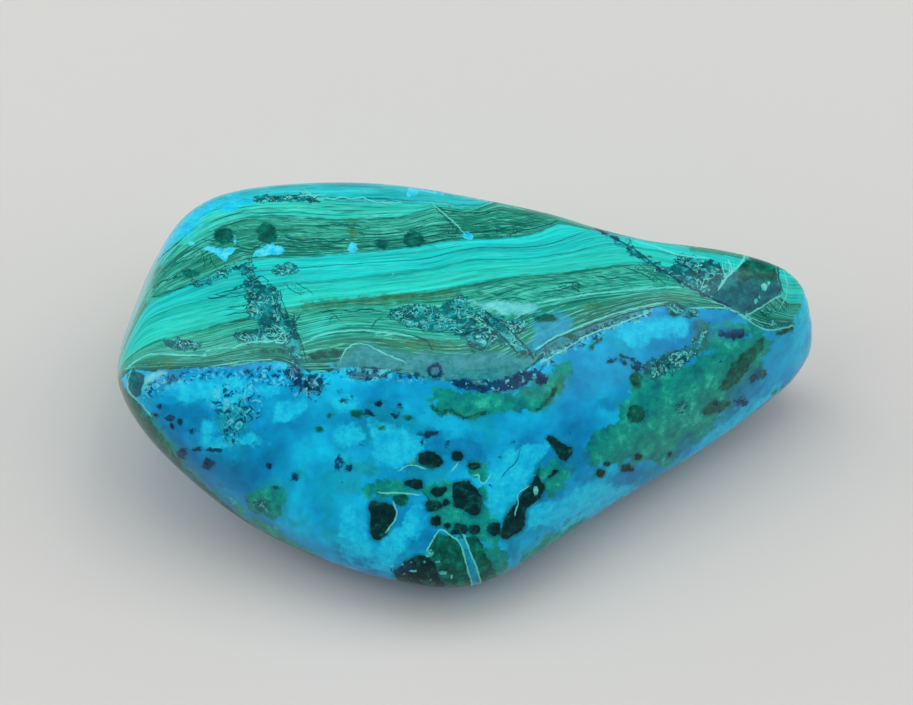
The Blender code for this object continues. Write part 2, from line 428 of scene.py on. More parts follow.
            (2.2, [(550, 357), (574, 341), (600, 328), (628, 318), (650, 311)]),
            (3.0, [(768, 324), (790, 324)]),
        ],
        "spots": [(681, 408, 6, 5), (262, 506, 9, 7)],
    },
    "specked": {  # clouds of fine dark specks
        "blocks": [
            [(138, 400), (146, 388), (158, 376), (175, 371), (206, 370), (240, 368), (283, 366), (296, 372),
             (330, 376), (330, 384), (322, 396), (304, 398), (286, 388), (262, 384), (230, 380), (200, 380),
             (172, 384), (152, 396), (146, 404)],
            [(330, 368), (372, 368), (400, 371), (430, 376), (430, 383), (400, 380), (372, 384),
             (340, 380)],
            [(208, 384), (256, 384), (262, 410), (250, 424), (224, 420), (210, 404)],
            [(447, 379), (490, 382), (515, 377), (534, 362), (560, 345), (600, 324), (650, 309), (650, 316),
             (600, 334), (560, 356), (534, 378), (500, 392), (460, 390)],
        ],
        "spots": [(232, 432, 10, 14), (400, 568, 10, 6)],
    },
}

# Thin pale veins, each a half width and a line; one of them is a painted highlight.
paleVeinsAndHighlight = [
    (0.8, [(126, 369), (131, 364), (142, 357), (153, 353), (178, 355), (206, 356)]),
    (0.6, [(206, 351), (215, 348), (228, 348)]),
    (0.9, [(233, 348), (244, 343), (260, 341), (283, 343)]),
    (0.6, [(215, 366), (234, 362), (253, 360), (270, 359)]),
    (0.7, [(131, 371), (128, 377), (127, 387), (130, 394), (137, 400)]),
    (0.7, [(303, 343), (320, 335), (348, 330), (376, 331), (398, 334), (412, 336)]),
    (0.5, [(377, 336), (388, 335), (398, 334)]),
    (0.6, [(341, 359), (345, 349), (355, 343), (367, 344), (385, 354), (404, 361)]),
    (0.8, [(539, 303), (560, 299), (588, 294), (614, 292), (641, 289), (680, 287)]),
    (0.7, [(536, 349), (556, 336), (576, 328), (599, 319), (626, 310), (650, 305), (666, 302)]),
    (0.7, [(647, 313), (633, 318), (611, 327), (583, 336), (576, 343), (551, 357), (540, 363)]),
    (0.8, [(692, 308), (727, 307), (747, 319), (767, 332), (792, 326)]),
    (0.5, [(772, 325), (756, 320), (742, 314), (724, 305), (712, 302)]),
    (0.9, [(636, 241), (655, 246), (679, 256), (706, 258)]),
    (1.2, [(746, 253), (740, 266), (730, 273), (719, 288)]),
    (0.8, [(729, 262), (733, 270)]),
    (0.8, [(427, 550), (432, 542), (437, 532), (442, 528), (454, 538)]),
    (1.0, [(456, 538), (463, 549), (467, 568), (474, 590)]),
    (1.0, [(482, 588), (478, 571), (471, 554), (464, 536)]),
    (0.8, [(394, 505), (399, 515), (387, 531)]),
    (0.9, [(380, 493), (404, 493), (418, 495)]),
    (0.8, [(458, 464), (452, 470)]),
    (0.7, [(474, 475), (480, 474), (478, 480), (484, 485), (490, 476)]),
    (0.7, [(528, 487), (516, 494), (519, 503), (515, 513)]),
    # painted highlight: a short white streak of light reflected at the left tip, drawn as a pale vein
    (0.7, [(142, 405), (150, 415)]),
    (0.6, [(434, 205), (454, 222), (464, 233)]),
    (0.7, [(300, 196), (310, 194), (318, 201), (326, 197), (334, 200), (341, 196), (350, 199), (362, 197)]),
    (0.6, [(362, 197), (372, 201), (384, 203), (400, 202)]),
    (0.5, [(305, 190), (314, 196), (322, 194)]),
    (0.5, [(783, 270), (788, 284), (786, 298), (780, 307)]),
    (0.8, [(745, 316), (755, 311), (765, 305), (773, 299), (780, 296)]),
    (0.6, [(722, 265), (725, 276), (719, 287)]),
    (0.6, [(265, 337), (270, 341), (278, 340), (281, 334)]),
    (0.5, [(276, 326), (284, 330), (286, 340)]),
    (0.6, [(400, 470), (410, 464), (424, 468)]),
]

# dark hairlines between the malachite's layers, and healed cracks, in the same way
cracks = [
    (0.6, [(157, 262), (168, 250), (181, 240)]),
    (0.4, [(163, 274), (173, 263), (185, 253), (196, 249)]),
    (0.4, [(166, 269), (178, 263), (191, 259), (197, 254)]),
    (0.4, [(167, 281), (180, 272), (192, 264), (203, 258)]),
    (0.4, [(201, 251), (205, 259), (204, 267)]),
    (0.4, [(209, 254), (212, 262), (217, 268)]),
    (0.7, [(153, 288), (163, 281), (173, 278), (183, 276)]),
    (0.5, [(152, 297), (170, 291), (186, 287)]),
    (0.6, [(234, 288), (252, 281), (260, 276)]),
    (0.6, [(211, 295), (229, 291), (242, 288), (252, 285)]),
    (0.6, [(209, 298), (229, 297), (246, 295), (255, 291)]),
    (0.6, [(229, 307), (240, 306), (249, 304)]),
    (0.5, [(226, 315), (238, 313), (248, 312)]),
    (0.6, [(232, 322), (240, 320), (250, 320)]),
    (0.5, [(262, 276), (270, 282), (275, 290)]),
    (0.6, [(268, 284), (274, 296), (276, 310)]),
    (0.6, [(280, 292), (283, 304), (288, 316)]),
    (0.7, [(292, 318), (296, 330), (302, 344), (306, 360)]),
    (0.6, [(299, 316), (294, 324), (290, 334)]),
    (0.5, [(288, 287), (294, 292), (300, 294)]),
    (0.4, [(298, 284), (306, 289), (312, 293)]),
    (0.7, [(318, 226), (345, 224), (360, 226)]),
    (0.6, [(360, 233), (380, 235), (400, 232), (424, 226)]),
    (0.6, [(360, 239), (382, 241), (404, 240), (430, 236), (450, 231)]),
    (0.5, [(362, 246), (390, 248), (424, 244), (452, 238)]),
    (0.6, [(286, 237), (300, 241), (318, 238), (336, 242), (345, 239)]),
    (0.6, [(286, 246), (302, 248), (320, 246), (340, 248)]),
    (0.5, [(205, 240), (214, 241), (232, 242)]),
    (0.5, [(238, 246), (250, 251), (262, 244)]),
    (0.6, [(436, 208), (448, 220), (458, 231)]),
    (0.5, [(433, 205), (452, 212), (480, 213), (505, 210)]),
    (0.4, [(440, 228), (470, 226), (500, 218), (530, 214)]),
    (0.4, [(448, 234), (480, 233), (510, 226), (545, 220)]),
    (0.5, [(500, 237), (520, 231), (545, 226), (556, 221)]),
    (0.7, [(496, 232), (508, 226), (520, 230), (512, 234)]),
    (0.5, [(382, 317), (375, 322), (372, 327)]),
    (0.8, [(405, 333), (418, 337), (428, 341), (431, 348)]),
    (0.7, [(322, 312), (338, 309), (352, 312), (366, 309), (380, 311)]),
    (0.5, [(330, 320), (334, 314), (338, 318)]),
    (0.8, [(486, 312), (500, 322), (514, 334), (526, 346), (533, 358)]),
    (0.8, [(480, 316), (494, 328), (506, 340), (516, 352)]),
    (0.9, [(470, 345), (480, 351), (488, 346), (486, 336), (476, 329), (467, 333)]),
    (0.6, [(500, 300), (512, 297), (524, 299)]),
    (0.7, [(560, 284), (572, 281), (580, 284)]),
    (0.8, [(562, 289), (570, 286), (578, 290)]),
    (0.6, [(598, 276), (610, 279), (620, 277)]),
    (0.6, [(626, 268), (640, 272), (654, 281)]),
    (0.5, [(640, 265), (652, 274), (664, 283)]),
    (0.9, [(612, 236), (624, 243), (637, 251), (656, 266), (676, 279), (695, 290), (715, 299), (724, 307)]),
    (0.5, [(630, 240), (634, 248), (640, 254)]),
    (0.7, [(536, 352), (552, 340), (576, 331), (600, 322), (628, 313), (664, 305)]),
    (0.5, [(520, 451), (518, 460), (510, 468), (503, 475)]),
    (0.8, [(766, 308), (771, 313)]),
    (0.8, [(771, 304), (777, 311)]),
    (0.8, [(776, 300), (783, 308)]),
    (0.8, [(760, 311), (765, 316)]),
    (0.8, [(781, 298), (787, 304)]),
    (1.0, [(778, 262), (778, 276), (782, 290)]),
    (0.6, [(424, 493), (430, 500), (428, 510)]),
]


def rounded(line, closed=False):
    # cuts each corner of a line twice, so that it curves
    line = np.array(line, float)
    for _ in range(2):
        after = np.roll(line, -1, axis=0) if closed else line[1:]
        before = line if closed else line[:-1]
        cut = np.stack((0.75 * before + 0.25 * after, 0.25 * before + 0.75 * after), axis=1).reshape(-1, 2)
        line = cut if closed else np.vstack((line[:1], cut, line[-1:]))
    return np.vstack((line, line[:1])) if closed else line


def gapToLine(places, line):
    # how far each place is from a line, and on which side of it, 1 or -1
    gap = np.full(len(places), np.inf)
    side = np.ones(len(places))
    for start, end in zip(line[:-1], line[1:]):
        run = end - start
        offset = places - start
        share = np.clip(offset @ run / max(run @ run, 1e-9), 0, 1)
        here = np.linalg.norm(offset - share[:, None] * run, axis=1)
        nearer = here < gap
        gap[nearer] = here[nearer]
        cross = run[0] * offset[:, 1] - run[1] * offset[:, 0]
        side[nearer] = np.where(cross[nearer] < 0, -1.0, 1.0)
    return gap, side


def isInside(places, ring):
    # a place is inside where a line from it to the right crosses the ring an odd number of times
    crossings = np.zeros(len(places), int)
    for start, end in zip(ring[:-1], ring[1:]):
        straddles = (start[1] > places[:, 1]) != (end[1] > places[:, 1])
        rise = end[1] - start[1] if end[1] != start[1] else 1e-9
        across = start[0] + (places[:, 1] - start[1]) / rise * (end[0] - start[0])
        crossings += straddles & (places[:, 0] < across)
    return crossings % 2 == 1


farOff = 40.0  # pixels: past this a mark has no say
noMark = -3.0  # mm, and pixels in a vein's width: what is written where no mark is near
veinReach = 4.5  # pixels to each side of a vein's line within which it can show


def depthInMarks(places, tint):
    # how deep each place is inside the marks of a tint, in pixels, and below 0 outside them
    depth = np.full(len(places), -farOff)

    def deepen(near, values):
        depth[near] = np.maximum(depth[near], values)

    def close(line, reach):
        low, high = line.min(axis=0) - reach, line.max(axis=0) + reach
        return np.flatnonzero(((places > low) & (places < high)).all(axis=1))

    for outline in tint.get("blocks", ()):
        ring = rounded(outline, closed=True)
        near = close(ring, farOff)
        gap = gapToLine(places[near], ring)[0]
        deepen(near, np.where(isInside(places[near], ring), gap, -gap))
    for halfWidth, points in tint.get("streaks", ()):
        line = rounded(points)
        near = close(line, farOff)
        deepen(near, halfWidth - gapToLine(places[near], line)[0])
    for x, y, across, down in tint.get("spots", ()):
        middle = np.array((x, y))
        near = close(middle[None], farOff)
        size = math.sqrt(across * down)
        offset = (places[near] - middle) / (across, down) * size
        deepen(near, size - np.linalg.norm(offset, axis=1))
    return depth


def nearestVein(places, lines):
    # the half width of the line that each place is nearest to, and the place's distance across it, in pixels.
    # A signed distance stays true between the mesh's points, so a line can be thinner than their spacing.
    width = np.full(len(places), noMark)
    across = np.full(len(places), farOff)
    for halfWidth, points in lines:
        line = rounded(points)
        low, high = line.min(axis=0) - farOff, line.max(axis=0) + farOff
        close = np.flatnonzero(((places > low) & (places < high)).all(axis=1))
        gap, side = gapToLine(places[close], line)
        nearer = gap < np.abs(across[close])
        across[close[nearer]] = (gap * side)[nearer]
        width[close[nearer]] = np.where(gap < veinReach, halfWidth, noMark)[nearer]
    return width, across


backLayer = 34.0  # pixels between the layers' lines behind the back rim
thinnestLayer = 0.6  # pixels
backTurn = 6  # behind the rim the layers run up to this number and down again, over and over
layerDepths = [0.0, 1.2, 2.5, 5.5, 6.6, 7.8, 9.6, 12.8, 15.4]  # mm down from the rim to each line, on average


def layerNumber(places):
    # 0 on the back rim, 1 on the next layer's line, and so on
    heights = []
    for line in layers.values():
        line = rounded(line)
        heights.append(np.interp(places[:, 0], line[:, 0], line[:, 1]))
    number = np.zeros(len(places))
    for above, below in zip(heights[:-1], heights[1:]):
        number += np.clip((places[:, 1] - above) / np.maximum(below - above, thinnestLayer), 0, 1)
    beyond = np.maximum(heights[0] - places[:, 1], 0) / backLayer
    return number + backTurn - np.abs(backTurn - beyond % (2 * backTurn))


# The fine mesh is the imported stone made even, smooth and dense enough to carry the pattern.
skin = {
    "cell": 0.43,  # mm between points before they are doubled
    "smoothing": 10,
    "driftLength": 9.0,  # mm: how fast the pattern wanders from the picture's where the picture can't see
    "drift": 5.0,  # mm
    "driftSeed": 4,
    "driftStart": 5.0,  # mm behind the face over which the wandering sets in
    "driftSpan": 2.0,  # the noise runs over about half of -1 to 1, so it is doubled
    "layerLean": 0.5,  # how much the layers' grain changes with the way behind the face
    "fadeInside": 0.7,  # how many mm a mark shrinks for each mm behind the face
    "veinDepth": 4.0,  # mm behind the face, past which there are no veins
    "sameFace": 0.05,  # mm: less than this counts as the face itself
    "joined": 0.0005,  # mm between points that are one point
}


def plainCopy(source, name):
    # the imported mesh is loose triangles, so the copy is joined up first
    mesh = bmesh.new()
    mesh.from_mesh(source.data)
    bmesh.ops.remove_doubles(mesh, verts=mesh.verts, dist=skin["joined"] * mm)
    data = bpy.data.meshes.new(name)
    mesh.to_mesh(data)
    mesh.free()
    copy = bpy.data.objects.new(name, data)
    bpy.context.scene.collection.objects.link(copy)
    return copy


def applied(piece):
    # the piece's mesh with its modifiers in it
    bpy.context.view_layer.update()
    seen = piece.evaluated_get(bpy.context.evaluated_depsgraph_get())
    data = bpy.data.meshes.new_from_object(seen)
    piece.modifiers.clear()
    old = piece.data
    piece.data = data
    bpy.data.meshes.remove(old)
    data.name = piece.name
    return piece


def fineSkin(source):
    piece = plainCopy(source, "polishedStone")
    even = piece.modifiers.new("even", "REMESH")
    even.mode = "VOXEL"
    even.voxel_size = skin["cell"] * mm
    smooth = piece.modifiers.new("smooth", "SMOOTH")
    smooth.factor = 0.5
    smooth.iterations = skin["smoothing"]
    dense = piece.modifiers.new("dense", "SUBSURF")
    dense.levels = dense.render_levels = 1
    return applied(piece)


def pointsOf(data):
    points = np.empty(len(data.vertices) * 3)
    data.vertices.foreach_get("co", points)
    return points.reshape(-1, 3) / mm


def keepOnPoints(data, name, values):
    kind = "FLOAT" if values.ndim == 1 else "FLOAT_VECTOR"
    field = data.attributes.new(name, kind, "POINT")
    field.data.foreach_set("value" if kind == "FLOAT" else "vector", values.astype(np.float32).ravel())


def depthBehindFace(data, points):
    # how far each point lies behind the first surface that the picture's camera meets on the way to it
    faces = [tuple(face.vertices) for face in data.polygons]
    tree = BVHTree.FromPolygons([tuple(point) for point in points], faces)
    eye = eyePoint()
    start = Vector(eye)
    reach = np.linalg.norm(points - eye, axis=1)
    depth = np.zeros(len(points))
    for index, (point, length) in enumerate(zip(points, reach)):
        hit = tree.ray_cast(start, (Vector(point) - start).normalized())[3]
        if hit is not None:
            depth[index] = max(0.0, length - hit)
    return depth


def paintFields(data):
    points = pointsOf(data)
    depth = depthBehindFace(data, points)
    depth[depth < skin["sameFace"]] = 0.0
    noise.seed_set(skin["driftSeed"])
    wander = np.array([noise.noise_vector(Vector(point / skin["driftLength"])) for point in points])
    places = toPicture(points)
    setIn = 1 - np.exp(-((depth / skin["driftStart"]) ** 2))
    places += wander[:, :2] * (setIn * skin["drift"] * picture["pixelsPerMm"] * skin["driftSpan"])[:, None]
    number = layerNumber(places)
    across = places[:, 0] / picture["pixelsPerMm"]
    down = np.interp(number, range(len(layerDepths)), layerDepths)
    keepOnPoints(data, "layer", number)
    keepOnPoints(data, "alongLayer", np.stack((across, down, depth * skin["layerLean"]), axis=1))
    contact = rounded(layers["contact"])
    belowContact = places[:, 1] - np.interp(places[:, 0], contact[:, 0], contact[:, 1])
    keepOnPoints(data, "blueSide", belowContact / picture["pixelsPerMm"])
    for name, tint in marks.items():
        inside = depthInMarks(places, tint) / picture["pixelsPerMm"] - depth * skin["fadeInside"]
        keepOnPoints(data, name, np.maximum(inside, noMark))
    for name, lines in (("vein", paleVeinsAndHighlight), ("crack", cracks)):
        width, side = nearestVein(places, lines)
        width = np.where(depth > skin["veinDepth"], noMark, width)
        keepOnPoints(data, name + "Width", width / picture["pixelsPerMm"])
        keepOnPoints(data, name + "Side", side / picture["pixelsPerMm"])
    print("fields painted on", len(points), "points")


class Wire:
    # a node's output that Python's operators work on
    def __init__(self, tree, socket):
        self.tree = tree
        self.socket = socket

    def maths(self, operation, *values, clamp=False):
        settings = {"operation": operation, "use_clamp": clamp}
        return self.tree.make("ShaderNodeMath", settings, dict(enumerate(values)))

    def other(self, name):
        # another output of the same node
        return Wire(self.tree, self.socket.node.outputs[name])

    def __add__(self, other):
        return self.maths("ADD", self, other)

    def __sub__(self, other):
        return self.maths("SUBTRACT", self, other)

    def __rsub__(self, other):
        return self.maths("SUBTRACT", other, self)

    def __mul__(self, other):
        return self.maths("MULTIPLY", self, other)

    def __truediv__(self, other):
        return self.maths("DIVIDE", self, other)

    def __rtruediv__(self, other):
        return self.maths("DIVIDE", other, self)

    def __abs__(self):
        return self.maths("ABSOLUTE", self)

    def atLeast(self, other):
        return self.maths("MAXIMUM", self, other)

    __radd__ = __add__
    __rmul__ = __mul__


class NodeTree:
    def __init__(self, tree):
        self.tree = tree

    def make(self, kind, settings=None, values=None, out=0):
        # settings come first, because they change a node's sockets
        node = self.tree.nodes.new(kind)
        for name, value in (settings or {}).items():
            if name == "stops":
                self.setStops(node.color_ramp, value)
            else:
                setattr(node, name, value)
        for name, value in (values or {}).items():
            if isinstance(value, Wire):
                self.tree.links.new(value.socket, node.inputs[name])
            else:
                node.inputs[name].default_value = value
        return Wire(self, node.outputs[out]) if node.outputs else node

    def setStops(self, ramp, stops):
        ramp.elements.remove(ramp.elements[1])
        ramp.elements[0].position = stops[0][0]
        ramp.elements[0].color = asLight(stops[0][1])
        for position, colour in stops[1:]:
            ramp.elements.new(position).color = asLight(colour)

    def noise(self, vector, scale, detail=3.0, roughness=0.55, distortion=0.0):
        values = {"Vector": vector, "Scale": scale, "Detail": detail, "Roughness": roughness,
                  "Distortion": distortion}
        return self.make("ShaderNodeTexNoise", {"noise_dimensions": "3D"}, values)

    def stretch(self, vector, amounts):
        return self.make("ShaderNodeVectorMath", {"operation": "MULTIPLY"}, {0: vector, 1: amounts})

    def shift(self, vector, offset):
        return self.make("ShaderNodeVectorMath", {"operation": "ADD"}, {0: vector, 1: offset})

    def rise(self, value, low, high):
        # 0 below low, 1 above high, and smooth between
        values = {"Value": value, "From Min": low, "From Max": high}
        return self.make("ShaderNodeMapRange", {"interpolation_type": "SMOOTHSTEP"}, values)

    def ramp(self, value, stops):
        return self.make("ShaderNodeValToRGB", {"stops": stops}, {"Fac": value})

    def lay(self, share, under, over):
        # one colour over another
        over = over if isinstance(over, Wire) else asLight(over)
        return self.make("ShaderNodeMix", {"data_type": "RGBA"}, {"Factor": share, 6: under, 7: over}, out=2)

    def shade(self, colour, amount):
        # brighter where the amount is over 1 and darker under it
        return self.make("ShaderNodeVectorMath", {"operation": "SCALE"}, {0: colour, "Scale": amount})

    def field(self, name, out="Fac"):
        return self.make("ShaderNodeAttribute", {"attribute_name": name}, out=out)

    def near(self, value, middle, reach):
        # 1 where a value is at the middle, falling to 0 a reach away on both sides
        return self.rise(abs(value - middle), reach, reach * 0.35)

    def feed(self, wire, socket):
        self.tree.links.new(wire.socket, socket)


def asLight(colour):
    # a colour as seen, 0 to 255, as the light that it stands for
    shares = [part / 255 for part in colour]
    light = [share / 12.92 if share <= 0.04045 else ((share + 0.055) / 1.055) ** 2.4 for share in shares]
    return (*light, 1.0)


# Where the stone was crushed and healed, or holds softer specks, the polish is pitted.
pits = {
    "Pit depth": 0.035,  # mm
    "Grain size": 0.45,  # mm
    "Orange peel": 0.010,  # mm: the slight unevenness that hand polishing leaves everywhere
    "Peel size": 1.9,  # mm
}


def pitTree():
    group = bpy.data.node_groups.new("polishingPits", "GeometryNodeTree")
    group.interface.new_socket("Geometry", in_out="INPUT", socket_type="NodeSocketGeometry")
    for name in pits:
        group.interface.new_socket(name, in_out="INPUT", socket_type="NodeSocketFloat")
    group.interface.new_socket("Material", in_out="INPUT", socket_type="NodeSocketMaterial")
    group.interface.new_socket("Geometry", in_out="OUTPUT", socket_type="NodeSocketGeometry")
    tree = NodeTree(group)
    inputs = tree.make("NodeGroupInput")
    place = tree.make("ShaderNodeVectorMath", {"operation": "SCALE"},
                      {0: tree.make("GeometryNodeInputPosition"), "Scale": 1 / mm})

    def fieldOf(name):
        return tree.make("GeometryNodeInputNamedAttribute", {"data_type": "FLOAT"}, {"Name": name})

    grain = tree.noise(place, 1 / inputs.other("Grain size"), detail=2.0)
    peel = tree.noise(place, 1 / inputs.other("Peel size"), detail=1.0)
    soft = tree.rise(fieldOf("broken"), -0.1, 0.25).atLeast(tree.rise(fieldOf("inky"), -0.1, 0.2) * 0.4)
    hollow = tree.rise(grain, 0.5, 0.68) * soft * inputs.other("Pit depth")
    depth = (hollow + peel * inputs.other("Orange peel")) * mm
    inward = tree.make("ShaderNodeVectorMath", {"operation": "SCALE"},
                       {0: tree.make("GeometryNodeInputNormal"), "Scale": 0 - depth})
    moved = tree.make("GeometryNodeSetPosition", None,
                      {"Geometry": inputs.other("Geometry"), "Offset": inward})
    whole = tree.make("GeometryNodeRealizeInstances", None, {0: moved})
    dressed = tree.make("GeometryNodeSetMaterial", None, {0: whole, "Material": inputs.other("Material")})
    tree.make("NodeGroupOutput", None, {0: dressed})
    return group


def pitted(piece, material):
    group = pitTree()
    step = piece.modifiers.new("pits", "NODES")
    step.node_group = group
    named = {item.name: item.identifier for item in group.interface.items_tree if item.in_out == "INPUT"}
    for name, size in pits.items():
        step[named[name]] = size
    step[named["Material"]] = material
    return applied(piece)


# The crown's layers, from the back: how far down each tint begins, on the scale of the layer lines.
malachite = [
    (0.00, (20, 176, 192)), (0.82, (30, 192, 195)), (0.88, (12, 115, 125)),
    (0.95, (70, 200, 210)), (1.02, (16, 130, 135)), (1.08, (36, 200, 188)), (1.55, (48, 196, 176)),
    (1.93, (34, 190, 176)), (1.99, (8, 100, 92)), (2.06, (46, 160, 136)), (2.45, (40, 156, 130)),
    (2.66, (24, 128, 106)), (2.94, (22, 124, 102)), (2.99, (18, 160, 148)), (3.05, (22, 200, 198)),
    (3.925, (22, 200, 196)), (3.95, (2, 98, 98)), (3.985, (2, 98, 98)), (4.02, (20, 196, 194)),
    (4.84, (24, 200, 194)), (4.94, (6, 148, 146)), (5.08, (28, 196, 186)), (5.90, (38, 200, 184)),
    (6.00, (10, 112, 98)), (6.10, (44, 160, 134)), (6.45, (36, 164, 142)), (6.90, (34, 158, 138)),
    (6.98, (44, 170, 150)), (7.02, (32, 148, 126)), (7.30, (20, 126, 102)), (7.88, (12, 104, 92)),
    (8.00, (5, 60, 70)),
]
chrysocolla = [(0.34, (3, 118, 172)), (0.45, (5, 144, 198)), (0.55, (8, 166, 216)), (0.67, (16, 194, 234))]

# what lies in and over the layers and the blue
overlays = {
    "mint": (42, 190, 176),
    "moss": (20, 128, 102),
    "fineDark": (4, 92, 88),
    "finePale": (92, 226, 210),
    "hair": (2, 88, 84),
    "glint": (104, 230, 214),
    "darkFibre": (4, 84, 78),
    "paleFibre": (84, 206, 180),
    "greenCloud": (8, 148, 160),
    "speckRim": (96, 206, 224),
    "speck": (8, 58, 100),
    "fleck": (4, 70, 104),
    "crack": (0, 66, 70),
    # the pale veins' colour, which also paints the highlight at the left tip
    "vein": (100, 220, 208),
}

# For each tint of mark: how soft the edges are and how far they stray, in mm, the grain of the straying, how
# much the mark covers, and the colour and the width in mm of the rim that some have.
tints = {
    "haze": {"colours": [(0.38, (8, 140, 158)), (0.62, (30, 172, 176))],
             "soft": 0.5, "stray": 2.6, "grain": 0.8, "cover": 0.7},
    "green": {"colours": [(0.34, (2, 108, 118)), (0.46, (6, 138, 132)), (0.56, (14, 158, 140)),
                          (0.68, (56, 198, 172))],
              "soft": 0.12, "stray": 2.6, "grain": 0.9, "variety": 0.7},
    "deep": {"colours": [(0.38, (2, 98, 150)), (0.62, (4, 126, 182))],
             "soft": 0.32, "stray": 2.8, "grain": 0.6, "cover": 0.6},
    "bright": {"colours": [(0.38, (6, 178, 226)), (0.62, (34, 214, 242))],
               "soft": 0.32, "stray": 3.8, "grain": 0.5, "cover": 0.9},
    # blue-grey chalcedony, and painted sheen along the crest
    "ash": {"colours": [(0.40, (26, 126, 134)), (0.60, (62, 154, 166))],
            "soft": 0.26, "stray": 1.5, "grain": 1.1, "cover": 0.9},
    # painted reflection: the pale sheen patches on the crest and at the left tip
    "milk": {"colours": [(0.40, (84, 196, 206)), (0.60, (124, 222, 222))],
             "soft": 0.20, "stray": 1.3, "grain": 1.1, "cover": 0.8},
    "pool": {"colours": [(0.40, (20, 140, 178)), (0.60, (44, 164, 200))],
             "soft": 0.26, "stray": 1.5, "grain": 1.0, "cover": 0.8},
    "sky": {"colours": [(0.40, (16, 184, 224)), (0.60, (84, 226, 240))],
            "soft": 0.04, "stray": 0.45, "grain": 2.2},
    "umber": {"colours": [(0.40, (14, 92, 64)), (0.60, (74, 128, 72))],
              "soft": 0.16, "stray": 1.8, "grain": 1.8, "cover": 0.55},
    "teal": {"colours": [(0.36, (4, 74, 86)), (0.50, (8, 98, 110)), (0.64, (20, 126, 132))],
             "soft": 0.05, "stray": 0.6, "grain": 1.2},
    # dark green malachite, and painted shade along the lower-left rim
    "bottle": {"colours": [(0.36, (0, 64, 58)), (0.52, (3, 94, 82)), (0.66, (12, 136, 114))],
               "soft": 0.05, "stray": 0.9, "grain": 1.6, "rim": (10, 118, 112), "rimWidth": 0.10},
    "navy": {"colours": [(0.40, (2, 42, 70)), (0.60, (8, 78, 112))],
             "soft": 0.05, "stray": 1.2, "grain": 1.9, "rim": (12, 108, 146), "rimWidth": 0.10},
    "inky": {"colours": [(0.38, (0, 34, 38)), (0.55, (2, 54, 56)), (0.68, (8, 104, 94))],
             "soft": 0.05, "stray": 0.6, "grain": 1.6, "rim": (6, 100, 114), "rimWidth": 0.15},
    "mauve": {"colours": [(0.40, (30, 100, 122)), (0.60, (74, 138, 160))],
              "soft": 0.05, "stray": 0.4, "grain": 2.0},
    "glaze": {"colours": [(0.40, (6, 122, 154)), (0.60, (24, 168, 196))],
              "soft": 0.05, "stray": 0.2, "grain": 1.0},
    "pale": {"colours": [(0.40, (40, 176, 168)), (0.60, (110, 222, 206))],
             "soft": 0.04, "stray": 0.4, "grain": 2.6},
}
crushed = {
    "ground": [(0.38, (0, 58, 66)), (0.50, (2, 82, 92)), (0.62, (6, 112, 116))],
    "grains": [(0.40, (6, 128, 138)), (0.60, (34, 176, 178))],
    "seams": (104, 216, 206),
}
polish = {
    "roughness": 0.08,
    "wear": 0.14,  # how much rougher it gets where it is handled
    "Metallic": 0.0,
    "IOR": 1.38,
    "Specular IOR Level": 0.24,
    "Coat Weight": 0.05,
    "Coat Roughness": 0.04,
    "grain": {"Strength": 0.10, "Distance": 0.05 * mm},
}


